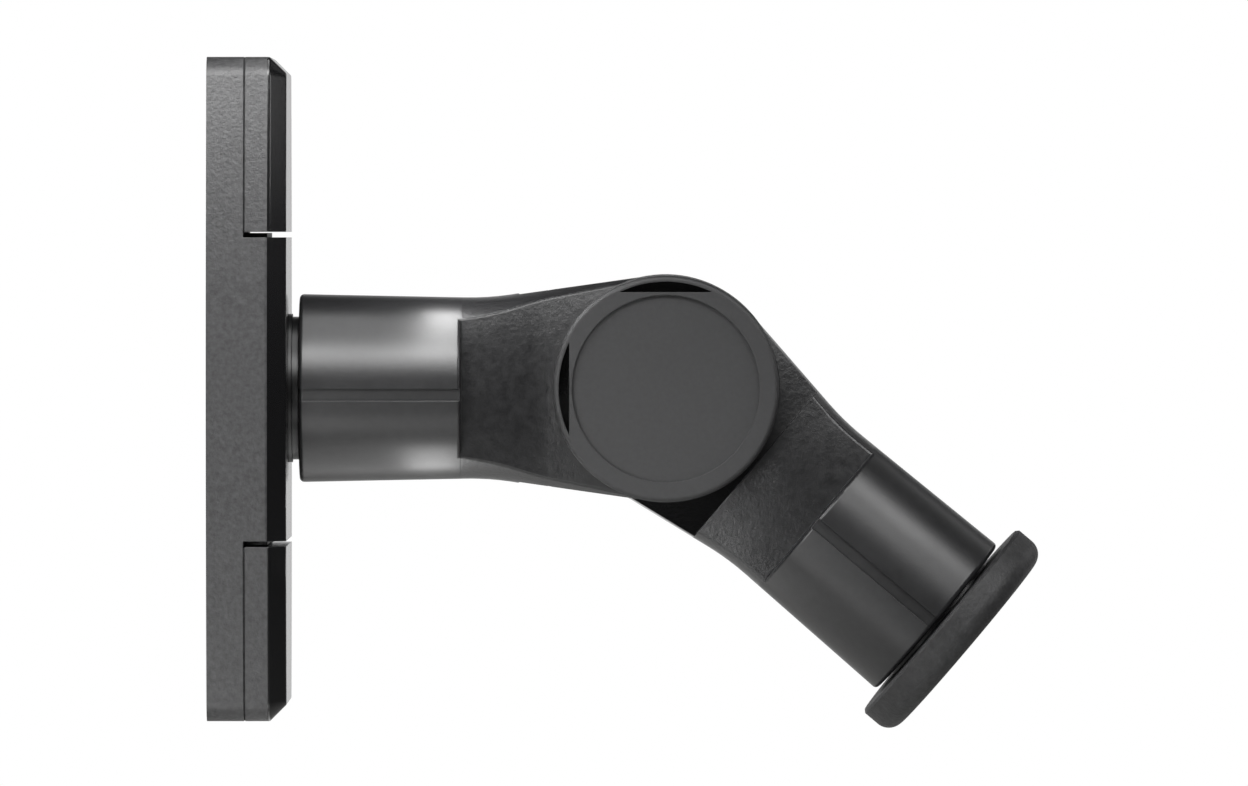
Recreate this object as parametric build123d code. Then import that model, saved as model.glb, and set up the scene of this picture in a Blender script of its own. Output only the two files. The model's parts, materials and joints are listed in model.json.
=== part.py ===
from build123d import *
import math
import os

# Speaker wall bracket. Lengths are in millimetres, angles in degrees.
# The origin is the middle of the wall plate's back face. +X leaves the wall, +Z is up,
# and the knuckle between the two arms turns about Y.

# Clearances
running_clearance = 0.1
seat_clearance = 0.2
cover_gap = 1.0
knuckle_clearance = 0.7

# Rounding of moulded edges
edge_radius = 0.6

# Wall plate and its screw covers
plate_height = 120.0
plate_middle_width = 56.0
plate_side_bow = 5.0
plate_corner_radius = 4.0
plate_front = 14.4
plate_bevel = 3.5
plate_wall = 2.4
plate_floor = 2.8
rib_thickness = 2.0
swivel_boss_radius = 15.0
cover_length = 31.6
cover_seat = 6.7
cover_bevel = 3.0
cover_wall = 2.0
cover_edge_chamfer = 0.3
clip_spacing = 26.0
clip_width = 6.0
clip_thickness = 1.6
clip_barb = 0.7
clip_barb_height = 0.9

# Wall screws
screw_spacing = 88.0
screw_hole_radius = 2.75
screw_head_radius = 5.5
screw_head_depth = 2.0
screw_boss_radius = 8.0

# Swivel between wall plate and wall arm
swivel_bolt_radius = 4.0
swivel_hex_flats = 13.0
swivel_head_height = 5.3
swivel_head_recess = 0.5
swivel_nut_height = 6.5
swivel_bolt_tip = 1.5
swivel_washer_radius = 8.0
swivel_washer_thickness = 1.6
hex_chamfer = 0.6
neck_radius = 13.0
neck_length = 1.9
neck_rim_radius = 13.5
neck_rim_thickness = 0.7
bush_wall = 1.8
bush_sleeve_length = 6.0

# Wall arm, measured from the knuckle's pivot towards the wall
wall_arm_length = 66.5
wall_arm_step = 37.2
wall_arm_taper = 8.0
wall_arm_neck_radius = 16.4
wall_arm_end_radius = 17.1

# Speaker arm, measured from the knuckle's pivot towards the speaker
speaker_arm_tilt = 40.2
speaker_arm_length = 64.6
speaker_arm_step = 36.2
speaker_arm_taper = 8.8
speaker_arm_neck_radius = 16.4
speaker_arm_end_radius = 17.1

# Tubes of both arms
arm_bend = 50.0
tube_wall = 2.4
tube_end_wall = 6.0
tube_root_wall = 5.0
tube_edge_radius = 0.8
seam_groove_width = 2.2
seam_groove_depth = 0.5
lip_height = 1.5
lip_thickness = 1.0

# Knuckle
knuckle_radius = 20.7
taper_drop = 0.1
fork_width = 16.0
fork_root_radius = 22.2
fork_top_length = 26.5
fork_ramp_angle = 10.8
fork_ramp_bend = 15.0
speaker_flat_width = 13.2
tongue_width = 7.2
disc_radius = 15.0
disc_thickness = 0.6

# Pivot bolt, its spring washer and its nut
pivot_bolt_radius = 3.0
pivot_head_radius = 5.0
pivot_head_height = 3.4
pivot_socket_flats = 4.0
pivot_socket_depth = 2.0
pivot_head_recess = 1.0
pivot_nut_flats = 10.0
pivot_nut_height = 5.0
pivot_nut_recess = 2.0
pivot_bolt_tip = 1.0
spring_washer_radius = 5.2
spring_washer_thickness = 1.6
spring_washer_split = 0.8

# Pivot caps
cap_radius = 20.5
cap_height = 7.0
cap_wall = 1.8
cap_face_radius = 17.0
cap_face_recess = 0.8
cap_rim_radius = 0.8
cap_peg_circle = 13.0
cap_peg_radius = 1.5
cap_peg_depth = 2.6
cap_peg_count = 3
cap_slot_offset = 17.5
cap_slot_radius = 19.4

# Speaker plate and what holds it in the arm
speaker_plate_radius = 21.75
speaker_plate_thickness = 6.6
speaker_plate_rounding = 3.1
speaker_plate_back_chamfer = 0.5
speaker_bore_radius = 3.3
spigot_radius = 6.0
spigot_tip = 1.6
plate_bush_wall = 1.3
plate_bush_flange = 0.7
plate_washer_radius = 9.5
plate_washer_thickness = 0.8
ring_radius = 8.6
ring_thickness = 1.0
ring_groove_depth = 0.8
ring_mouth = 4.0

# Places that follow from the sizes above
arm_start = plate_front + neck_length + running_clearance
swivel_seat = arm_start + tube_end_wall + running_clearance
pivot_x = arm_start + wall_arm_length
middle_half = plate_height / 2 - cover_length - cover_gap
shoulder = knuckle_radius + knuckle_clearance
taper_radius = knuckle_radius - taper_drop
slot_half = tongue_width / 2 + disc_thickness
cheek_face = fork_width / 2
ramp_start = shoulder + fork_ramp_bend * math.tan(math.radians(fork_ramp_angle) / 2)
ramp_end = cheek_face + (wall_arm_step - ramp_start) * math.tan(math.radians(fork_ramp_angle))
speaker_flat = speaker_flat_width / 2
head_seat = cheek_face - pivot_head_recess
nut_seat = cheek_face - pivot_nut_recess
plate_washer_seat = speaker_arm_length - tube_end_wall - running_clearance
spigot_end = plate_washer_seat - plate_washer_thickness - ring_thickness - spigot_tip

along_x = Plane.YZ
along_y = Plane(origin=(0, 0, 0), x_dir=(0, 0, 1), z_dir=(0, 1, 0))
knuckle = Pos(pivot_x, 0, 0)
wall_arm_place = knuckle * Rot(0, 0, 180)
speaker_arm_place = knuckle * Rot(0, speaker_arm_tilt, 0)

# Half size of a cutting block that takes in the whole bracket
reach = plate_height + wall_arm_length + speaker_arm_length
everywhere = (-reach, reach)

# Two places closer than this are the same place
touch = 0.01


def block(x, y, z):
    """Box between three pairs of limits."""
    limits = (x, y, z)
    middle = [(low + high) / 2 for low, high in limits]
    sizes = [high - low for low, high in limits]
    return Pos(*middle) * Box(*sizes)


def rod(plane, radius, start, end):
    """Cylinder along a plane's normal, between two distances from the plane."""
    return plane.offset(start) * Cylinder(radius, end - start, align=(Align.CENTER, Align.CENTER, Align.MIN))


def ring(plane, outer, inner, start, end):
    """Plain ring or sleeve along a plane's normal."""
    return rod(plane, outer, start, end) - rod(plane, inner, start, end)


def hexagon(plane, flats, start, end):
    """Hexagonal prism along a plane's normal."""
    outline = RegularPolygon(flats / 2, 6, major_radius=False)
    return extrude(plane.offset(start) * outline, end - start)


def turned_hexagon(plane, flats, start, end):
    """Hexagonal prism with turned corners, as on bolt heads and nuts."""
    blank = rod(plane, flats / math.sqrt(3), start, end)
    blank = chamfer(blank.edges().filter_by(GeomType.CIRCLE), hex_chamfer)
    return hexagon(plane, flats, start, end) & blank


# Wall plate

def plate_outline(inset=0.0):
    """Front outline of the plate: straight ends, bowed sides, rounded corners."""
    half_height = plate_height / 2
    side_radius = (half_height ** 2 + plate_side_bow ** 2) / (2 * plate_side_bow)
    side_centre = plate_middle_width / 2 - side_radius
    top = half_height - inset
    end = side_centre + math.sqrt((side_radius - inset) ** 2 - top ** 2)
    middle = plate_middle_width / 2 - inset
    sides = [
        Line((-end, -top), (end, -top)),
        ThreePointArc((end, -top), (middle, 0), (end, top)),
        Line((end, top), (-end, top)),
        ThreePointArc((-end, top), (-middle, 0), (-end, -top)),
    ]
    outline = make_face(sides)
    corner = max(plate_corner_radius - inset, plate_corner_radius / 4)
    return Plane.YZ * fillet(outline.vertices(), corner)


def plate_slab(bevel):
    """Plate-shaped slab with a bevelled front edge, its two ridges rounded."""
    slab = extrude(plate_outline(), plate_front)
    slab = chamfer(slab.faces().sort_by(Axis.X)[-1].edges(), bevel)
    inner_ridge = [edge for edge in slab.edges() if abs(edge.center().X - plate_front) < touch]
    outer_ridge = [edge for edge in slab.edges() if abs(edge.center().X - plate_front + bevel) < touch]
    return fillet(inner_ridge + outer_ridge, edge_radius)


def clip_slots():
    """Slots in the plate's floor for the clips of both covers."""
    slots = []
    for z in (-screw_spacing / 2, screw_spacing / 2):
        for side in (-1, 1):
            inner = side * (clip_spacing / 2 - clip_thickness / 2 - clip_barb - seat_clearance)
            outer = side * (clip_spacing / 2 + clip_thickness / 2 + seat_clearance)
            half = clip_width / 2 + seat_clearance
            slots.append(block((0, cover_seat), sorted((inner, outer)), (z - half, z + half)))
    return slots


def back_hollow():
    """Space behind the plate, with the bosses and ribs left standing."""
    shallow = extrude(plate_outline(plate_wall), cover_seat - plate_floor)
    deep_end = middle_half - plate_wall
    deep = extrude(plate_outline(plate_wall), plate_front - plate_bevel)
    deep &= block(everywhere, everywhere, (-deep_end, deep_end))
    hollow = shallow + deep - rod(along_x, swivel_boss_radius, 0, plate_front)
    half_rib = rib_thickness / 2
    hollow -= block(everywhere, (-half_rib, half_rib), everywhere)
    hollow -= block(everywhere, everywhere, (-half_rib, half_rib))
    for z in (-screw_spacing / 2, screw_spacing / 2):
        hollow -= Pos(0, 0, z) * rod(along_x, screw_boss_radius, 0, plate_front)
    return hollow


def wall_plate():
    slab = plate_slab(plate_bevel)
    plate = slab & block((0, cover_seat), everywhere, everywhere)
    plate += slab & block((0, plate_front), everywhere, (-middle_half, middle_half))
    stop_half = plate_middle_width / 2 - plate_side_bow - plate_corner_radius
    stop_end = middle_half + cover_gap - seat_clearance
    plate += block((0, plate_front - plate_bevel), (-stop_half, stop_half), (-stop_end, stop_end))
    plate -= back_hollow()
    plate -= clip_slots()
    for z in (-screw_spacing / 2, screw_spacing / 2):
        plate -= Pos(0, 0, z) * rod(along_x, screw_hole_radius, 0, cover_seat)
        plate -= Pos(0, 0, z) * rod(along_x, screw_head_radius, cover_seat - screw_head_depth, cover_seat)
    pocket = swivel_head_recess + swivel_head_height
    plate -= hexagon(along_x, swivel_hex_flats + 2 * running_clearance, 0, pocket)
    plate -= rod(along_x, swivel_bolt_radius + running_clearance, 0, plate_front)
    sleeve = swivel_bolt_radius + running_clearance + bush_wall
    plate -= rod(along_x, sleeve + running_clearance, plate_front - bush_sleeve_length, plate_front)
    return plate


def screw_cover(side):
    """Clip-on cover over one wall screw: side 1 is the upper one, -1 the lower one."""
    low = plate_height / 2 - cover_length
    cover = plate_slab(cover_bevel) & block((cover_seat, plate_front), everywhere, (low, reach))
    ceiling = plate_front - cover_bevel
    hollow = extrude(plate_outline(cover_wall), ceiling)
    hollow &= block((cover_seat, ceiling), everywhere, (low + cover_wall, reach))
    cover -= hollow
    cover = chamfer(cover.faces().sort_by(Axis.X)[0].outer_wire().edges(), cover_edge_chamfer)
    hook = cover_seat - plate_floor - seat_clearance
    half = clip_width / 2
    centre = screw_spacing / 2
    for mirror in (-1, 1):
        inner = mirror * (clip_spacing / 2 - clip_thickness / 2)
        outer = mirror * (clip_spacing / 2 + clip_thickness / 2)
        tip = outer + mirror * clip_barb
        tab_z = (centre - half, centre + half)
        cover += block((hook - clip_barb_height, ceiling), sorted((inner, outer)), tab_z)
        cover += block((hook - clip_barb_height, hook), sorted((inner, tip)), tab_z)
    return cover if side > 0 else Rot(180, 0, 0) * cover


# Swivel

def swivel_bolt():
    head_end = swivel_head_recess + swivel_head_height
    tip = swivel_seat + swivel_washer_thickness + swivel_nut_height + swivel_bolt_tip
    bolt = turned_hexagon(along_x, swivel_hex_flats, swivel_head_recess, head_end)
    bolt += rod(along_x, swivel_bolt_radius, head_end, tip)
    return chamfer(bolt.edges().sort_by(Axis.X)[-1], swivel_bolt_tip / 2)


def swivel_bush():
    bore = swivel_bolt_radius + running_clearance
    bush = ring(along_x, neck_radius, bore, plate_front, plate_front + neck_length)
    bush += ring(along_x, neck_rim_radius, bore, plate_front, plate_front + neck_rim_thickness)
    return bush + ring(along_x, bore + bush_wall, bore, plate_front - bush_sleeve_length, plate_front)


def swivel_washer():
    bore = swivel_bolt_radius + seat_clearance
    return ring(along_x, swivel_washer_radius, bore, swivel_seat, swivel_seat + swivel_washer_thickness)


def swivel_nut():
    seat = swivel_seat + swivel_washer_thickness
    end = seat + swivel_nut_height
    nut = turned_hexagon(along_x, swivel_hex_flats, seat, end)
    return nut - rod(along_x, swivel_bolt_radius + running_clearance, seat, end)


# Arms, drawn with the pivot at the origin and the tube along +X

def taper_point(taper, distance):
    """Point of a straight taper that leaves the drum's circle: distance from the pivot, and height."""
    turn = math.radians(taper)
    return distance, (taper_radius - distance * math.sin(turn)) / math.cos(turn)


def taper_start(taper):
    """Point where a straight taper leaves the drum's circle."""
    return taper_point(taper, taper_radius * math.sin(math.radians(taper)))


def taper_neck(taper, radius):
    """Point where a straight taper has come down to a radius."""
    turn = math.radians(taper)
    return (taper_radius - radius * math.cos(turn)) / math.sin(turn), radius


def arm_blank(root, neck, end, inset=0.0):
    """Turned form of an arm through three points of its outline: a taper, then a slightly flared tube."""
    points = [(distance, radius - inset) for distance, radius in (root, neck, end)]
    side = FilletPolyline(*points, radius=arm_bend)
    outline = make_face([side, Polyline(side @ 1, (end[0], 0), (root[0], 0), side @ 0)])
    blank = revolve(outline, Axis.X)
    rim = blank.edges().filter_by(GeomType.CIRCLE).sort_by(Axis.X)[-1]
    return fillet(rim, tube_edge_radius)


def knuckle_drum():
    return rod(along_y, knuckle_radius, -cheek_face, cheek_face)


def fork_tops():
    """Side view of the fork: flat tops that leave the drum's circle, opening out past their ends."""
    upper = [
        taper_start(wall_arm_taper),
        taper_point(wall_arm_taper, fork_top_length),
        (wall_arm_step, fork_root_radius),
    ]
    lower = [(distance, -height) for distance, height in reversed(upper)]
    outline = make_face(Polyline(*upper, *lower, close=True))
    return extrude(Plane.XZ * outline, reach, both=True)


def fork_sides():
    """Space between the fork's two sides: parallel beside the knuckle, then widening towards the tube."""
    side = FilletPolyline(
        (-reach, cheek_face), (ramp_start, cheek_face), (wall_arm_step, ramp_end), radius=fork_ramp_bend)
    other = mirror(side, Plane.XZ)
    outline = make_face([side, Line(side @ 1, other @ 1), other, Line(other @ 0, side @ 0)])
    return extrude(outline, reach, both=True)


def round_flats(arm, flat, start, step, step_flat):
    """Round the edges of the two flats and the rim of the tube where the flats begin."""
    rounded = []
    for edge in arm.edges():
        place = edge.center()
        beside_flat = abs(place.Y) > flat - touch and abs(place.Z) > touch
        on_flat = beside_flat and start + touch < place.X < step - touch
        on_rim = abs(place.X - step) < touch and abs(place.Y) > step_flat + touch
        if on_flat or on_rim:
            rounded.append(edge)
    return fillet(rounded, edge_radius)


def part_off_cover(arm, blank, core, step, length, bore):
    """Hollow an arm's tube and part off its lower half as a clip-on cover."""
    hollow_start = step + tube_root_wall
    hollow_end = length - tube_end_wall
    lower = arm & block((step, length), everywhere, (-reach, 0))

    cover = lower - rod(along_x, bore, step, length)
    cover -= (blank - core) & block((step, length), everywhere, (-seam_groove_width, 0))
    lip_ends = (hollow_start + seat_clearance, hollow_end - seat_clearance)
    lips = ring(along_x, bore + lip_thickness, bore, *lip_ends)
    cover += lips & block(everywhere, everywhere, (-lip_height, lip_height))

    body = arm - (lower - rod(along_x, bore - seat_clearance, step, length))
    body -= rod(along_x, bore, hollow_start, hollow_end)
    rebate = rod(along_x, bore + lip_thickness + seat_clearance, hollow_start, hollow_end)
    body -= rebate & block(everywhere, everywhere, (0, lip_height + seat_clearance))
    return body, cover


def cap_peg_places():
    """Turns about Y that carry a point to each cap peg."""
    spacing = 360 / cap_peg_count
    return [Rot(0, spacing * turn, 0) * Pos(-cap_peg_circle, 0, 0) for turn in range(cap_peg_count)]


def wall_arm():
    """Fork arm: body and cover."""
    neck = taper_neck(wall_arm_taper, wall_arm_neck_radius)
    points = ((0, fork_root_radius), neck, (wall_arm_length, wall_arm_end_radius))
    blank = arm_blank(*points)
    core = arm_blank(*points, inset=seam_groove_depth)
    fork = ((blank & fork_tops()) + knuckle_drum()) & fork_sides()
    arm = fork + (blank & block((wall_arm_step, reach), everywhere, everywhere))
    arm = round_flats(arm, cheek_face, 0, wall_arm_step, ramp_end)
    arm -= block((-reach, shoulder), (-slot_half, slot_half), everywhere)
    bolt_hole = swivel_bolt_radius + running_clearance
    arm -= rod(along_x, bolt_hole, wall_arm_step + tube_root_wall, wall_arm_length)
    bore = wall_arm_neck_radius - tube_wall
    body, cover = part_off_cover(arm, blank, core, wall_arm_step, wall_arm_length, bore)
    body = wall_arm_place * body
    cover = wall_arm_place * cover

    body -= knuckle * rod(along_y, pivot_bolt_radius + running_clearance, -cheek_face, cheek_face)
    body -= knuckle * rod(along_y, spring_washer_radius + seat_clearance, -cheek_face, -head_seat)
    body -= knuckle * hexagon(along_y, pivot_nut_flats + 2 * running_clearance, nut_seat, cheek_face)
    hole_floor = cheek_face - cap_peg_depth - seat_clearance
    for place in cap_peg_places():
        peg_hole = rod(along_y, cap_peg_radius + running_clearance, hole_floor, cheek_face)
        body -= knuckle * place * peg_hole
        body -= knuckle * place * Rot(180, 0, 0) * peg_hole
    return body, cover


def speaker_arm():
    """Tongue arm: body and cover."""
    neck = taper_neck(speaker_arm_taper, speaker_arm_neck_radius)
    points = (taper_start(speaker_arm_taper), neck, (speaker_arm_length, speaker_arm_end_radius))
    blank = arm_blank(*points)
    core = arm_blank(*points, inset=seam_groove_depth)
    half_tongue = tongue_width / 2
    arm = (blank + knuckle_drum()) & block((-reach, shoulder), (-half_tongue, half_tongue), everywhere)
    arm += blank & block((shoulder, speaker_arm_step), (-speaker_flat, speaker_flat), everywhere)
    arm += blank & block((speaker_arm_step, reach), everywhere, everywhere)
    arm = round_flats(arm, speaker_flat, shoulder, speaker_arm_step, speaker_flat)
    arm -= rod(along_y, pivot_bolt_radius + running_clearance, -half_tongue, half_tongue)
    sleeve = spigot_radius + running_clearance + plate_bush_wall
    arm -= rod(along_x, sleeve + running_clearance, speaker_arm_length - tube_end_wall, speaker_arm_length)
    bore = speaker_arm_neck_radius - tube_wall
    body, cover = part_off_cover(arm, blank, core, speaker_arm_step, speaker_arm_length, bore)
    return speaker_arm_place * body, speaker_arm_place * cover


# Knuckle hardware, drawn with the pivot at the origin

def friction_disc(side):
    """Disc between tongue and cheek: side -1 is the front, 1 the rear."""
    disc = ring(along_y, disc_radius, pivot_bolt_radius + seat_clearance, tongue_width / 2, slot_half)
    return knuckle * (disc if side > 0 else Rot(180, 0, 0) * disc)


def pivot_bolt():
    under_head = -head_seat - spring_washer_thickness
    tip = nut_seat + pivot_nut_height + pivot_bolt_tip
    bolt = rod(along_y, pivot_head_radius, under_head - pivot_head_height, under_head)
    bolt += rod(along_y, pivot_bolt_radius, under_head, tip)
    bolt = chamfer(bolt.edges().sort_by(Axis.Y)[-1], pivot_bolt_tip / 2)
    top = under_head - pivot_head_height
    return knuckle * (bolt - hexagon(along_y, pivot_socket_flats, top, top + pivot_socket_depth))


def pivot_spring_washer():
    under_head = -head_seat - spring_washer_thickness
    washer = ring(along_y, spring_washer_radius, pivot_bolt_radius + seat_clearance, under_head, -head_seat)
    half_split = spring_washer_split / 2
    return knuckle * (washer - block((0, reach), everywhere, (-half_split, half_split)))


def pivot_nut():
    end = nut_seat + pivot_nut_height
    nut = turned_hexagon(along_y, pivot_nut_flats, nut_seat, end)
    return knuckle * (nut - rod(along_y, pivot_bolt_radius + running_clearance, nut_seat, end))


def beyond_cap_lines(offset):
    """Space past two lines at a distance from the pivot, one on the wall's side and one above."""
    return block((-reach, -offset), everywhere, everywhere) + block(everywhere, everywhere, (offset, reach))


def pivot_cap(side):
    """Press-in cap with a raised rim and two pry slots: side -1 is the front, 1 the rear."""
    top = cheek_face + cap_height
    ceiling = top - cap_face_recess - cap_wall
    cap = rod(along_y, cap_radius, cheek_face, top)
    cap = fillet(cap.edges().sort_by(Axis.Y)[-1], cap_rim_radius)
    cap -= rod(along_y, cap_face_radius, top - cap_face_recess, top)
    hollow = rod(along_y, cap_radius - cap_wall, cheek_face, ceiling)
    cap -= hollow - beyond_cap_lines(cap_slot_offset - cap_wall)
    cap -= rod(along_y, cap_slot_radius, cheek_face, top) & beyond_cap_lines(cap_slot_offset)
    for place in cap_peg_places():
        cap += place * rod(along_y, cap_peg_radius, cheek_face - cap_peg_depth, ceiling)
    return knuckle * (cap if side > 0 else mirror(cap, Plane.XZ))


# Speaker plate, drawn with the pivot at the origin and the spigot along X

def speaker_plate():
    back = speaker_arm_length + plate_bush_flange + running_clearance
    front = back + speaker_plate_thickness
    plate = rod(along_x, speaker_plate_radius, back, front)
    plate = fillet(plate.edges().sort_by(Axis.X)[-1], speaker_plate_rounding)
    plate = chamfer(plate.edges().sort_by(Axis.X)[0], speaker_plate_back_chamfer)
    plate += rod(along_x, spigot_radius, spigot_end, back)
    groove_start = spigot_end + spigot_tip
    groove_floor = spigot_radius - ring_groove_depth
    plate -= ring(along_x, spigot_radius, groove_floor, groove_start, groove_start + ring_thickness)
    return speaker_arm_place * (plate - rod(along_x, speaker_bore_radius, spigot_end, front))


def plate_bush():
    bore = spigot_radius + running_clearance
    sleeve = bore + plate_bush_wall
    end = speaker_arm_length
    bush = ring(along_x, neck_radius, bore, end, end + plate_bush_flange)
    return speaker_arm_place * (bush + ring(along_x, sleeve, bore, end - tube_end_wall, end))


def plate_washer():
    seat = plate_washer_seat
    bore = spigot_radius + seat_clearance
    return speaker_arm_place * ring(along_x, plate_washer_radius, bore, seat - plate_washer_thickness, seat)


def plate_retaining_ring():
    seat = plate_washer_seat - plate_washer_thickness
    bore = spigot_radius - ring_groove_depth + running_clearance
    clip = ring(along_x, ring_radius, bore, seat - ring_thickness, seat)
    half_mouth = ring_mouth / 2
    return speaker_arm_place * (clip - block(everywhere, (-half_mouth, half_mouth), (-reach, 0)))


wall_arm_body, wall_arm_cover = wall_arm()
speaker_arm_body, speaker_arm_cover = speaker_arm()
nodes = {
    "wall_plate": wall_plate(),
    "upper_screw_cover": screw_cover(1),
    "lower_screw_cover": screw_cover(-1),
    "swivel_bolt": swivel_bolt(),
    "swivel_bush": swivel_bush(),
    "swivel_washer": swivel_washer(),
    "swivel_nut": swivel_nut(),
    "wall_arm_body": wall_arm_body,
    "wall_arm_cover": wall_arm_cover,
    "front_friction_disc": friction_disc(-1),
    "rear_friction_disc": friction_disc(1),
    "pivot_bolt": pivot_bolt(),
    "pivot_spring_washer": pivot_spring_washer(),
    "pivot_nut": pivot_nut(),
    "front_pivot_cap": pivot_cap(-1),
    "rear_pivot_cap": pivot_cap(1),
    "speaker_arm_body": speaker_arm_body,
    "speaker_arm_cover": speaker_arm_cover,
    "plate_bush": plate_bush(),
    "speaker_plate": speaker_plate(),
    "plate_washer": plate_washer(),
    "plate_retaining_ring": plate_retaining_ring(),
}

os.makedirs("parts", exist_ok=True)
for name, solid in nodes.items():
    solid.label = name
    export_step(solid, os.path.join("parts", name + ".step"))
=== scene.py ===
import json
import math

import bpy
import numpy as np
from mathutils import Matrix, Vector


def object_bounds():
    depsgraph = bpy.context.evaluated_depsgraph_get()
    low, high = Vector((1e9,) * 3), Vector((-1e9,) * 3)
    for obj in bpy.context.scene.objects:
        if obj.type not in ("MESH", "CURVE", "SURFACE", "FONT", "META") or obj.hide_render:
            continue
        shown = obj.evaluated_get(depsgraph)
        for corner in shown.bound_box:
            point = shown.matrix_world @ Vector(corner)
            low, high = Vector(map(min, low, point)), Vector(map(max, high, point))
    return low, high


# Speaker wall bracket: finishes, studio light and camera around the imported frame.
# The frame is in metres: +X leaves the wall, +Z is up, and the photographed side faces -Y.
# Lengths and places in the dictionaries are in millimetres.

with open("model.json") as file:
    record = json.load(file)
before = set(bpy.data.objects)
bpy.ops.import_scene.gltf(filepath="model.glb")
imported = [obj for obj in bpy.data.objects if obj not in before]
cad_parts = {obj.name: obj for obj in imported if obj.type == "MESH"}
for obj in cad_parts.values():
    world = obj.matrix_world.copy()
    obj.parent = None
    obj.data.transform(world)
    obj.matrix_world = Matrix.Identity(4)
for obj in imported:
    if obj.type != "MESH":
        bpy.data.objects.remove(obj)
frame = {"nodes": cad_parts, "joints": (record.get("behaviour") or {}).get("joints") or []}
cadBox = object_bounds()
nodes = frame["nodes"]

mmPerMetre = 1000.0


def metres(length):
    # from millimetres
    return length / mmPerMetre


def perMetre(grain):
    # texture scale that gives a pattern of this many millimetres
    return mmPerMetre / grain


def linear(hexColour):
    # sRGB hex to linear RGBA
    parts = [int(hexColour[i:i + 2], 16) / 255.0 for i in (1, 3, 5)]
    return [p / 12.92 if p <= 0.04045 else ((p + 0.055) / 1.055) ** 2.4 for p in parts] + [1.0]


def addNode(tree, kind, links=None, values=None, **settings):
    # one node: settings are its properties, values its sockets, links its sockets' sources
    node = tree.nodes.new(kind)
    for key, value in settings.items():
        setattr(node, key, value)
    for socket, value in (values or {}).items():
        node.inputs[socket].default_value = value
    for socket, source in (links or {}).items():
        tree.links.new(source, node.inputs[socket])
    return node


def newMaterial(name):
    material = bpy.data.materials.new(name)
    material.use_nodes = True
    tree = material.node_tree
    tree.nodes.clear()
    return material, tree


# Places that the finishes follow, read from the frame

jointNamed = {joint["name"]: joint for joint in frame["joints"]}
pivot = np.array(jointNamed["knuckle_tilt"]["pos_m"])
towardsWall = -np.array(jointNamed["arm_swivel"]["axis"], float)
towardsSpeaker = np.array(jointNamed["plate_swivel"]["axis"])


def cornersOf(node):
    mesh = nodes[node].data
    points = np.empty(len(mesh.vertices) * 3, np.float32)
    mesh.vertices.foreach_get("co", points)
    return points.reshape(-1, 3).astype(float)


def tubeStart(cover, direction):
    # an arm's tube starts where its half cover does, this far from the pivot
    return ((cornersOf(cover) - pivot) @ direction).min()


plateFront = cornersOf("wall_plate")[:, 0].max()
wallStep = tubeStart("wall_arm_cover", towardsWall)
speakerStep = tubeStart("speaker_arm_cover", towardsSpeaker)
capRadius = cornersOf("front_pivot_cap")[:, 0].max() - pivot[0]
print("tubes start", [round(step * mmPerMetre, 2) for step in (wallStep, speakerStep)], "mm from the pivot")


def cloudySpeckle(tree, place, look):
    # a soft noise, stretched until it runs from 0 to 1
    mottle = addNode(
        tree, "ShaderNodeTexNoise", {"Vector": place},
        {"Scale": perMetre(look["mottleSize"]), "Detail": look["mottleDetail"],
         "Roughness": look["mottleFalloff"]})
    speckle = addNode(
        tree, "ShaderNodeMapRange", {"Value": mottle.outputs["Fac"]},
        {"From Min": look["speckle"][0], "From Max": look["speckle"][1]})
    return speckle.outputs[0]


# Black ABS, injection moulded. The tubes come satin from a polished tool. The flats beside the knuckle
# keep a spark-eroded grain and sink a little over their thick walls, so light slides along the tubes and
# breaks up on the flats. Round the pivot, where the arms bear on each other, one side of each is
# polished, and painted deep black as painted shade for the shadow in the cap's notches and on the
# tongue's lower side.
armPlastic = {
    "colour": "#141415",
    "mottle": "#1c1c1d",
    "mottleSize": 1.6,
    "mottleDetail": 4.0,
    "mottleFalloff": 0.6,
    "speckle": (0.3, 0.7),      # of the noise, from all colour to all mottle
    "tubeRoughness": 0.35,
    "flatRoughness": 0.34,
    "sheenDrift": 0.04,         # how far the gloss wanders over the surface
    "driftSize": 9.0,
    "driftDetail": 2.0,
    "grainSize": 0.7,           # the real grain is about 0.15 and would not show
    "grainDetail": 3.0,
    "grainFalloff": 0.55,
    "tubeGrain": 0.010,         # how deep the grain is on the tubes
    "flatGrain": 0.050,         # and on the flats
    "sinkSize": 12.0,
    "sinkDetail": 0.0,
    "sinkDepth": 0.35,
    "fullness": 1.5,            # how far the middle of a flat seems to stand over its edges
    "halfWidth": 16.0,          # of a flat, from the arm's middle line
    "edgeRound": 0.15,
    "stepBlend": 0.4,           # width of the change from tube to flat
    "polishAndShadeReach": 21.3,        # from the pivot, along the arm
    "polishAndShadeInset": 0.3,         # on the fork, inside the cap's rim
    "polishAndShadeEdge": 0.2,          # of halfWidth, either side of the middle line, where the polish and the painted shade run out
    # painted shade: deep black for the shadow in the cap's notches and on the tongue's lower side
    "paintedShadeColour": "#070708",
    "polishRoughness": 0.16,
    "ior": 1.53,
}


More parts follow.
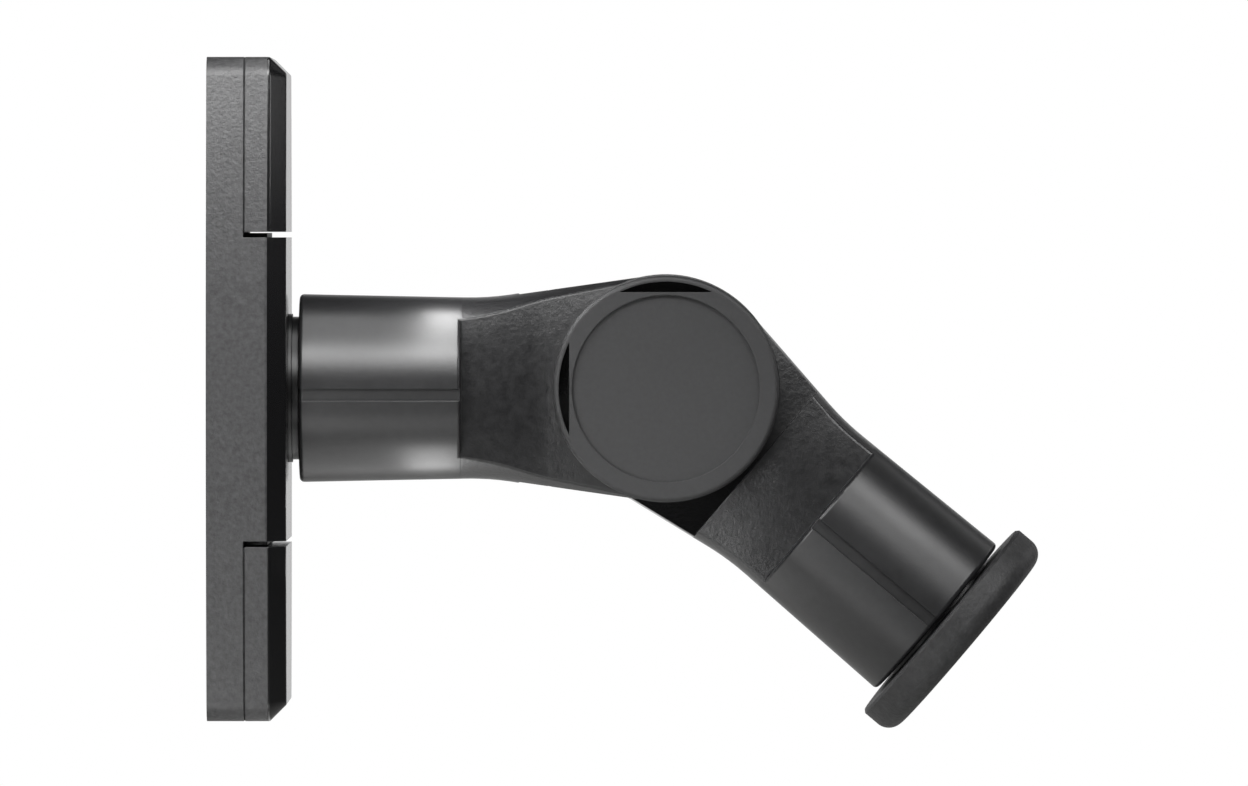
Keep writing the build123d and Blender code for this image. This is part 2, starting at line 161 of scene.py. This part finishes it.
def armZones(tree, place, look, direction, tubeAt, polishAndShadeRadius):
    # over an arm: 1 on its tube, 1 where it is polished and painted with shade, and -1 to 1 across its flats
    halfWidth = metres(look["halfWidth"])
    crossways = (-direction[2] / halfWidth, 0, direction[0] / halfWidth)
    fromPivot = addNode(tree, "ShaderNodeVectorMath", {0: place}, {1: pivot}, operation="SUBTRACT")
    along = addNode(
        tree, "ShaderNodeVectorMath", {0: fromPivot.outputs[0]}, {1: direction}, operation="DOT_PRODUCT")
    across = addNode(
        tree, "ShaderNodeVectorMath", {0: fromPivot.outputs[0]}, {1: crossways}, operation="DOT_PRODUCT")
    # without Y, the pivot's own axis
    inPlane = addNode(
        tree, "ShaderNodeVectorMath", {0: fromPivot.outputs[0]}, {1: (1, 0, 1)}, operation="MULTIPLY")
    around = addNode(tree, "ShaderNodeVectorMath", {0: inPlane.outputs[0]}, operation="LENGTH")
    onTube = addNode(
        tree, "ShaderNodeMapRange", {"Value": along.outputs["Value"]},
        {"From Min": tubeAt - metres(look["stepBlend"]), "From Max": tubeAt})
    inReach = addNode(
        tree, "ShaderNodeMath", {0: along.outputs["Value"]}, {1: metres(look["polishAndShadeReach"])},
        operation="LESS_THAN")
    inRadius = addNode(
        tree, "ShaderNodeMath", {0: around.outputs["Value"]}, {1: polishAndShadeRadius}, operation="LESS_THAN")
    # only the side where the shade falls gets the painted shade
    oneSide = addNode(
        tree, "ShaderNodeMapRange", {"Value": across.outputs["Value"]},
        {"From Min": look["polishAndShadeEdge"], "From Max": -look["polishAndShadeEdge"]})
    nearPivot = addNode(
        tree, "ShaderNodeMath", {0: inReach.outputs[0], 1: inRadius.outputs[0]}, operation="MULTIPLY")
    polishAndShade = addNode(
        tree, "ShaderNodeMath", {0: nearPivot.outputs[0], 1: oneSide.outputs[0]}, operation="MULTIPLY")
    return onTube.outputs[0], polishAndShade.outputs[0], across.outputs["Value"]


def armRelief(tree, place, look, across, offFlats):
    # an arm's normal: edges rounded, flats a little full and sunk, grain over all
    edges = addNode(tree, "ShaderNodeBevel", None, {"Radius": metres(look["edgeRound"])})
    bow = addNode(tree, "ShaderNodeMath", {0: across, 1: across}, operation="MULTIPLY")
    bowDepth = addNode(
        tree, "ShaderNodeMapRange", {"Value": offFlats},
        {"To Min": metres(look["fullness"]), "To Max": 0.0})
    full = addNode(
        tree, "ShaderNodeBump",
        {"Height": bow.outputs[0], "Distance": bowDepth.outputs[0], "Normal": edges.outputs[0]},
        invert=True)
    sink = addNode(
        tree, "ShaderNodeTexNoise", {"Vector": place},
        {"Scale": perMetre(look["sinkSize"]), "Detail": look["sinkDetail"]})
    sinkDepth = addNode(
        tree, "ShaderNodeMapRange", {"Value": offFlats},
        {"To Min": metres(look["sinkDepth"]), "To Max": 0.0})
    sunk = addNode(
        tree, "ShaderNodeBump",
        {"Height": sink.outputs["Fac"], "Distance": sinkDepth.outputs[0], "Normal": full.outputs[0]})
    grain = addNode(
        tree, "ShaderNodeTexNoise", {"Vector": place},
        {"Scale": perMetre(look["grainSize"]), "Detail": look["grainDetail"],
         "Roughness": look["grainFalloff"]})
    grainDepth = addNode(
        tree, "ShaderNodeMapRange", {"Value": offFlats},
        {"To Min": metres(look["flatGrain"]), "To Max": metres(look["tubeGrain"])})
    grained = addNode(
        tree, "ShaderNodeBump",
        {"Height": grain.outputs["Fac"], "Distance": grainDepth.outputs[0], "Normal": sunk.outputs[0]})
    return grained.outputs[0]


def satinAbs(name, look, direction, tubeAt, polishAndShadeRadius):
    # direction leaves the pivot along the arm; tubeAt and the radius of the polish and painted shade are
    # distances from the pivot
    material, tree = newMaterial(name)
    place = addNode(tree, "ShaderNodeTexCoord").outputs["Object"]
    onTube, polishAndShade, across = armZones(tree, place, look, direction, tubeAt, polishAndShadeRadius)
    speckle = cloudySpeckle(tree, place, look)
    skin = addNode(
        tree, "ShaderNodeMix", {"Factor": speckle},
        {"A": linear(look["colour"]), "B": linear(look["mottle"])}, data_type="RGBA")
    # painted shade: the polished patch is coloured deep black
    colour = addNode(
        tree, "ShaderNodeMix", {"Factor": polishAndShade, "A": skin.outputs["Result"]},
        {"B": linear(look["paintedShadeColour"])}, data_type="RGBA")
    drift = addNode(
        tree, "ShaderNodeTexNoise", {"Vector": place},
        {"Scale": perMetre(look["driftSize"]), "Detail": look["driftDetail"]})
    tubeGloss = addNode(
        tree, "ShaderNodeMapRange", {"Value": drift.outputs["Fac"]},
        {"To Min": look["tubeRoughness"] - look["sheenDrift"],
         "To Max": look["tubeRoughness"] + look["sheenDrift"]})
    flatGloss = addNode(
        tree, "ShaderNodeMapRange", {"Value": speckle},
        {"To Min": look["flatRoughness"] - look["sheenDrift"],
         "To Max": look["flatRoughness"] + look["sheenDrift"]})
    skinGloss = addNode(
        tree, "ShaderNodeMix", {"Factor": onTube, "A": flatGloss.outputs[0], "B": tubeGloss.outputs[0]})
    gloss = addNode(
        tree, "ShaderNodeMix", {"Factor": polishAndShade, "A": skinGloss.outputs["Result"]},
        {"B": look["polishRoughness"]})
    offFlats = addNode(tree, "ShaderNodeMath", {0: onTube, 1: polishAndShade}, operation="MAXIMUM")
    normal = armRelief(tree, place, look, across, offFlats.outputs[0])
    shader = addNode(
        tree, "ShaderNodeBsdfPrincipled",
        {"Base Color": colour.outputs["Result"], "Roughness": gloss.outputs["Result"], "Normal": normal},
        {"IOR": look["ior"]})
    addNode(tree, "ShaderNodeOutputMaterial", {"Surface": shader.outputs[0]})
    return material


# Black ABS with a spark-eroded skin, for the wall plate and its covers: matt, and the grain makes a fine
# salt-and-pepper in the light. The plate's front and bevel are polished, and painted deep black as painted
# shade for the bevel, which faces away from the light.
platePlastic = {
    "colour": "#1d1d1e",
    "mottle": "#373738",
    "mottleSize": 1.0,
    "mottleDetail": 4.0,
    "mottleFalloff": 0.65,
    "speckle": (0.3, 0.7),      # of the noise, from all colour to all mottle
    "roughness": 0.46,
    "sheenDrift": 0.06,
    "driftSize": 6.0,
    "driftDetail": 2.0,
    "grainSize": 0.7,           # the real grain is about 0.2 and would not show
    "grainDetail": 3.0,
    "grainFalloff": 0.55,
    "grainDepth": 0.085,
    "edgeRound": 0.25,
    "polishAndShadeDepth": 3.4,         # behind the plate's front, or 0 where nothing is polished and painted with shade
    "paintedShadeColour": "#070708",
    "polishRoughness": 0.22,
    "ior": 1.53,
}

# The same spark-eroded ABS for the round speaker plate, without the polished front and rougher, so that its
# rim stays dull. Its darker colour is painted shade.
shadedFlangePlastic = dict(
    platePlastic, colour="#121213", mottle="#282829", mottleSize=1.4, roughness=0.58, polishAndShadeDepth=0)

# Dark grey ABS for the pivot caps, from a finely blasted tool: an even matt skin with hardly any grain.
capPlastic = dict(
    platePlastic, colour="#171718", mottle="#1e1e1f", mottleSize=0.9, roughness=0.60, sheenDrift=0.02,
    grainDepth=0.014, polishAndShadeDepth=0)

# Acetal for the bushes and friction discs: dense black, smooth from the tool, slightly waxy.
bushPlastic = dict(
    platePlastic, colour="#101011", mottle="#141415", mottleSize=4.0, roughness=0.34, grainDepth=0.003,
    ior=1.48, polishAndShadeDepth=0)


def polishAndShadeFront(tree, place, look, colour, gloss, bump):
    # the plate near its front: no grain, glossy, and painted deep black as painted shade
    split = addNode(tree, "ShaderNodeSeparateXYZ", {"Vector": place})
    onFront = addNode(
        tree, "ShaderNodeMath", {0: split.outputs["X"]}, {1: plateFront - metres(look["polishAndShadeDepth"])},
        operation="GREATER_THAN")
    grainDepth = addNode(
        tree, "ShaderNodeMapRange", {"Value": onFront.outputs[0]},
        {"To Min": metres(look["grainDepth"]), "To Max": 0.0})
    tree.links.new(grainDepth.outputs[0], bump.inputs["Distance"])
    # painted shade: the front and bevel coloured deep black
    black = addNode(
        tree, "ShaderNodeMix", {"Factor": onFront.outputs[0], "A": colour},
        {"B": linear(look["paintedShadeColour"])}, data_type="RGBA")
    shine = addNode(
        tree, "ShaderNodeMix", {"Factor": onFront.outputs[0], "A": gloss}, {"B": look["polishRoughness"]})
    return black.outputs["Result"], shine.outputs["Result"]


def grainedAbs(name, look):
    material, tree = newMaterial(name)
    place = addNode(tree, "ShaderNodeTexCoord").outputs["Object"]
    colour = addNode(
        tree, "ShaderNodeMix", {"Factor": cloudySpeckle(tree, place, look)},
        {"A": linear(look["colour"]), "B": linear(look["mottle"])}, data_type="RGBA").outputs["Result"]
    drift = addNode(
        tree, "ShaderNodeTexNoise", {"Vector": place},
        {"Scale": perMetre(look["driftSize"]), "Detail": look["driftDetail"]})
    gloss = addNode(
        tree, "ShaderNodeMapRange", {"Value": drift.outputs["Fac"]},
        {"To Min": look["roughness"] - look["sheenDrift"],
         "To Max": look["roughness"] + look["sheenDrift"]}).outputs[0]
    grain = addNode(
        tree, "ShaderNodeTexNoise", {"Vector": place},
        {"Scale": perMetre(look["grainSize"]), "Detail": look["grainDetail"],
         "Roughness": look["grainFalloff"]})
    edges = addNode(tree, "ShaderNodeBevel", None, {"Radius": metres(look["edgeRound"])})
    bump = addNode(
        tree, "ShaderNodeBump", {"Height": grain.outputs["Fac"], "Normal": edges.outputs[0]},
        {"Distance": metres(look["grainDepth"])})
    if look["polishAndShadeDepth"]:
        colour, gloss = polishAndShadeFront(tree, place, look, colour, gloss, bump)
    shader = addNode(
        tree, "ShaderNodeBsdfPrincipled",
        {"Base Color": colour, "Roughness": gloss, "Normal": bump.outputs[0]}, {"IOR": look["ior"]})
    addNode(tree, "ShaderNodeOutputMaterial", {"Surface": shader.outputs[0]})
    return material


# Bright zinc on steel, electroplated: pale grey with a faint blue cast, fine crystals and a little tooth.
zincPlate = {
    "colour": "#b9bcc0",
    "stain": "#a2a6ac",
    "spangleSize": 1.1,
    "roughness": 0.30,
    "sheenDrift": 0.08,
    "grainSize": 0.35,
    "grainDetail": 2.0,
    "grainDepth": 0.004,
}

# Phosphated spring steel, dipped and oiled: dark grey, matt and finely crystalline.
phosphateSteel = dict(
    zincPlate, colour="#4a4b4d", stain="#38393b", spangleSize=0.8, roughness=0.48, grainSize=0.4,
    grainDepth=0.006)


def platedSteel(name, look):
    material, tree = newMaterial(name)
    place = addNode(tree, "ShaderNodeTexCoord").outputs["Object"]
    spangle = addNode(
        tree, "ShaderNodeTexVoronoi", {"Vector": place}, {"Scale": perMetre(look["spangleSize"])})
    colour = addNode(
        tree, "ShaderNodeMix", {"Factor": spangle.outputs["Distance"]},
        {"A": linear(look["colour"]), "B": linear(look["stain"])}, data_type="RGBA")
    gloss = addNode(
        tree, "ShaderNodeMapRange", {"Value": spangle.outputs["Distance"]},
        {"To Min": look["roughness"] - look["sheenDrift"],
         "To Max": look["roughness"] + look["sheenDrift"]})
    grain = addNode(
        tree, "ShaderNodeTexNoise", {"Vector": place},
        {"Scale": perMetre(look["grainSize"]), "Detail": look["grainDetail"]})
    bump = addNode(
        tree, "ShaderNodeBump", {"Height": grain.outputs["Fac"]}, {"Distance": metres(look["grainDepth"])})
    shader = addNode(
        tree, "ShaderNodeBsdfPrincipled",
        {"Base Color": colour.outputs["Result"], "Roughness": gloss.outputs[0], "Normal": bump.outputs[0]},
        {"Metallic": 1.0})
    addNode(tree, "ShaderNodeOutputMaterial", {"Surface": shader.outputs[0]})
    return material


# Which finish each node wears

forkPolishAndShade = capRadius - metres(armPlastic["polishAndShadeInset"])        # the fork is polished and painted with shade under the cap only
tonguePolishAndShade = 2 * capRadius                                      # the tongue as far as the reach of the polish and painted shade lets it
wallArmSkin = satinAbs("satinAbsWallArm", armPlastic, towardsWall, wallStep, forkPolishAndShade)
speakerArmSkin = satinAbs("satinAbsSpeakerArm", armPlastic, towardsSpeaker, speakerStep, tonguePolishAndShade)
plateSkin = grainedAbs("grainedAbsPlate", platePlastic)
shadedFlangeSkin = grainedAbs("grainedAbsFlangePaintedShade", shadedFlangePlastic)
capSkin = grainedAbs("mattAbsCap", capPlastic)
bushSkin = grainedAbs("acetalBush", bushPlastic)
zinc = platedSteel("zincPlatedSteel", zincPlate)
springSteel = platedSteel("phosphatedSpringSteel", phosphateSteel)

finishOf = {
    "wall_plate": plateSkin, "upper_screw_cover": plateSkin, "lower_screw_cover": plateSkin,
    "wall_arm_body": wallArmSkin, "wall_arm_cover": wallArmSkin,
    "speaker_arm_body": speakerArmSkin, "speaker_arm_cover": speakerArmSkin,
    "speaker_plate": shadedFlangeSkin,
    "front_pivot_cap": capSkin, "rear_pivot_cap": capSkin,
    "swivel_bush": bushSkin, "plate_bush": bushSkin,
    "front_friction_disc": bushSkin, "rear_friction_disc": bushSkin,
    "swivel_bolt": zinc, "swivel_washer": zinc, "swivel_nut": zinc,
    "pivot_bolt": zinc, "pivot_nut": zinc, "plate_washer": zinc,
    "pivot_spring_washer": springSteel, "plate_retaining_ring": springSteel,
}
for name, node in nodes.items():
    node.data.materials.clear()
    node.data.materials.append(finishOf[name])
print("finishes:", len(set(finishOf.values())), "materials on", len(nodes), "nodes")


# Pale floor, well under the bracket
floorDisc = {
    "radius": 6000.0,
    "drop": 300.0,              # under the bracket's lowest point
    "rings": 24,
    "growth": 1.5,              # power by which the rings widen outwards
    "spokes": 96,
    "colour": "#f4f4f2",
    "paleness": 0.60,           # share of plain white near the middle
    "fade": (1200.0, 3500.0),   # from the middle, where the floor turns into the backdrop
    "behind": (400.0, 2000.0),  # behind the bracket, where reflections show the backdrop
}


def palePaper(look):
    # white paper that keeps shadows, and pales into a plain white backdrop for the eye and in reflections
    material, tree = newMaterial("palePaper")
    place = addNode(tree, "ShaderNodeTexCoord").outputs["Object"]
    rays = addNode(tree, "ShaderNodeLightPath")
    away = addNode(tree, "ShaderNodeVectorMath", {0: place}, operation="LENGTH")
    fade = addNode(
        tree, "ShaderNodeMapRange", {"Value": away.outputs["Value"]},
        {"From Min": metres(look["fade"][0]), "From Max": metres(look["fade"][1]),
         "To Min": look["paleness"]},
        interpolation_type="SMOOTHSTEP")
    seen = addNode(
        tree, "ShaderNodeMath", {0: rays.outputs["Is Camera Ray"], 1: fade.outputs[0]},
        operation="MULTIPLY")
    split = addNode(tree, "ShaderNodeSeparateXYZ", {"Vector": place})
    behind = addNode(
        tree, "ShaderNodeMapRange", {"Value": split.outputs["Y"]},
        {"From Min": metres(look["behind"][0]), "From Max": metres(look["behind"][1])},
        interpolation_type="SMOOTHSTEP")
    mirrored = addNode(
        tree, "ShaderNodeMath",
        {0: rays.outputs["Is Glossy Ray"], 1: rays.outputs["Is Transmission Ray"]}, operation="MAXIMUM")
    reflected = addNode(
        tree, "ShaderNodeMath", {0: mirrored.outputs[0], 1: behind.outputs[0]}, operation="MULTIPLY")
    share = addNode(
        tree, "ShaderNodeMath", {0: seen.outputs[0], 1: reflected.outputs[0]}, operation="MAXIMUM")
    paper = addNode(tree, "ShaderNodeBsdfDiffuse", None, {"Color": linear(look["colour"])})
    white = addNode(tree, "ShaderNodeEmission")
    mixed = addNode(
        tree, "ShaderNodeMixShader", {0: share.outputs[0], 1: paper.outputs[0], 2: white.outputs[0]})
    addNode(tree, "ShaderNodeOutputMaterial", {"Surface": mixed.outputs[0]})
    return material


def paleFloor(look, lowest):
    # a flat disc: point = radius * (cos angle, sin angle), one grid row to a ring and one column to a spoke
    radius = metres(look["radius"]) * np.linspace(0, 1, look["rings"]) ** look["growth"]
    angle = np.linspace(0, 2 * np.pi, look["spokes"], endpoint=False)
    r, a = np.meshgrid(radius, angle, indexing="ij")
    points = np.stack([r * np.cos(a), r * np.sin(a), np.full_like(r, lowest - metres(look["drop"]))], -1)
    index = np.arange(r.size).reshape(r.shape)
    nextSpoke = np.roll(index, -1, axis=1)
    faces = np.stack([index[:-1], index[1:], nextSpoke[1:], nextSpoke[:-1]], -1).reshape(-1, 4)
    mesh = bpy.data.meshes.new("paleFloor")
    mesh.from_pydata(points.reshape(-1, 3).tolist(), [], faces.tolist())
    mesh.materials.append(palePaper(look))
    floor = bpy.data.objects.new("paleFloor", mesh)
    bpy.context.scene.collection.objects.link(floor)


paleFloor(floorDisc, cadBox[0].z)
print("floor laid")


# Studio: soft lamps. Glow is a lamp's brightness, where 1 is white paper. Spread is in degrees, and a
# lamp without one shines all round its front.
lamps = {
    "key": {"place": (150, -480, 400), "aim": (75, 0, 0), "size": (500, 250), "glow": 8.5},
    "leftFront": {"place": (-60, -308, -60), "aim": (75, 0, -10), "size": (120, 120), "glow": 5.0},
    "kneeSoft": {
        "place": (23, -134, -31), "aim": (98, -8, -25), "size": (40, 40), "glow": 0.8, "spread": 40},
    "lowFill": {"place": (60, -300, -280), "aim": (60, 0, 0), "size": (500, 120), "glow": 1.1},
    "topLeft": {"place": (-20, -120, 110), "aim": (6, -27, 42), "size": (60, 60), "glow": 12.5},
    "lowLeft": {"place": (-20, -120, -110), "aim": (6, -27, -42), "size": (60, 60), "glow": 3.2},
    "overheadLeft": {"place": (24, -40, 110), "aim": (24, 0, 0), "size": (24, 120), "glow": 4.6},
    "overheadStrip": {"place": (43.5, -26, 36), "aim": (56.5, -26, 0), "size": (52, 7), "glow": 20.0},
    "underLeft": {"place": (26, 10, -110), "aim": (26, 0, 0), "size": (24, 120), "glow": 1.5},
    "underStrip": {"place": (41, -6, -36), "aim": (41, -6, 0), "size": (9, 24), "glow": 6.5},
    "rightPatch": {"place": (211, -71, 87), "aim": (118, -14, -18), "size": (60, 60), "glow": 7.0},
    "rearLeft": {"place": (-650, 420, 330), "aim": (60, 0, 0), "size": (500, 500), "glow": 4.5},
    "rearRight": {"place": (700, 500, 300), "aim": (60, 0, 0), "size": (400, 400), "glow": 1.2},
}


def softLamp(name, look):
    data = bpy.data.lights.new(name, "AREA")
    data.shape = "RECTANGLE"
    data.size, data.size_y = (metres(side) for side in look["size"])
    data.energy = look["glow"] * math.pi * data.size * data.size_y   # power of a plain radiator
    if "spread" in look:
        data.spread = math.radians(look["spread"])
    lamp = bpy.data.objects.new(name, data)
    place, aim = (Vector([metres(v) for v in look[key]]) for key in ("place", "aim"))
    lamp.location = place
    lamp.rotation_euler = (aim - place).to_track_quat("-Z", "Y").to_euler()
    lamp.visible_camera = False
    bpy.context.scene.collection.objects.link(lamp)


for name, look in lamps.items():
    softLamp(name, look)
print("lamps:", len(lamps))


# Room: a white backdrop for the eye, and in reflections behind the bracket, with a dim grey studio all round
room = {
    "ambient": "#5a5a5a",            # lights the surfaces
    "studio": "#3a3a3a",             # shows in reflections
    "backdrop": "#ffffff",
    "backdropEdge": (0.90, 0.97),    # how squarely a ray goes back along +Y, from studio to backdrop
}


def studioWorld(look):
    world = bpy.data.worlds.new("studio")
    bpy.context.scene.world = world
    world.use_nodes = True
    tree = world.node_tree
    tree.nodes.clear()
    rays = addNode(tree, "ShaderNodeLightPath")
    mirrored = addNode(
        tree, "ShaderNodeMath",
        {0: rays.outputs["Is Glossy Ray"], 1: rays.outputs["Is Transmission Ray"]}, operation="MAXIMUM")
    towards = addNode(tree, "ShaderNodeTexCoord").outputs["Generated"]     # a world's own ray direction
    split = addNode(tree, "ShaderNodeSeparateXYZ", {"Vector": towards})
    behind = addNode(
        tree, "ShaderNodeMapRange", {"Value": split.outputs["Y"]},
        {"From Min": look["backdropEdge"][0], "From Max": look["backdropEdge"][1]},
        interpolation_type="SMOOTHSTEP")
    reflected = addNode(
        tree, "ShaderNodeMath", {0: mirrored.outputs[0], 1: behind.outputs[0]}, operation="MULTIPLY")
    onBackdrop = addNode(
        tree, "ShaderNodeMath", {0: rays.outputs["Is Camera Ray"], 1: reflected.outputs[0]},
        operation="MAXIMUM")
    dim = addNode(
        tree, "ShaderNodeMix", {"Factor": mirrored.outputs[0]},
        {"A": linear(look["ambient"]), "B": linear(look["studio"])}, data_type="RGBA")
    colour = addNode(
        tree, "ShaderNodeMix", {"Factor": onBackdrop.outputs[0], "A": dim.outputs["Result"]},
        {"B": linear(look["backdrop"])}, data_type="RGBA")
    background = addNode(tree, "ShaderNodeBackground", {"Color": colour.outputs["Result"]})
    addNode(tree, "ShaderNodeOutputWorld", {"Surface": background.outputs[0]})


studioWorld(room)
print("room lit")


# Camera: square to the arms, far off with a long lens, level with the upper cover's lower edge
camera = {
    "distance": 2800.0,
    "height": 28.0,
    "frameWidth": 227.0,        # what the picture takes in at the bracket
    "sensor": 36.0,
    "clipEnd": 28000.0,
}


def sideCamera(look):
    data = bpy.data.cameras.new("sideCamera")
    data.sensor_width = look["sensor"]
    data.lens = look["sensor"] * look["distance"] / look["frameWidth"]
    data.clip_end = metres(look["clipEnd"])
    eye = bpy.data.objects.new("sideCamera", data)
    centre = (cadBox[0] + cadBox[1]) / 2
    eye.location = (centre.x, -metres(look["distance"]), metres(look["height"]))
    eye.rotation_euler = (centre - eye.location).to_track_quat("-Z", "Y").to_euler()
    bpy.context.scene.collection.objects.link(eye)
    bpy.context.scene.camera = eye


sideCamera(camera)
bpy.context.scene.view_settings.view_transform = "Standard"
print("camera set")
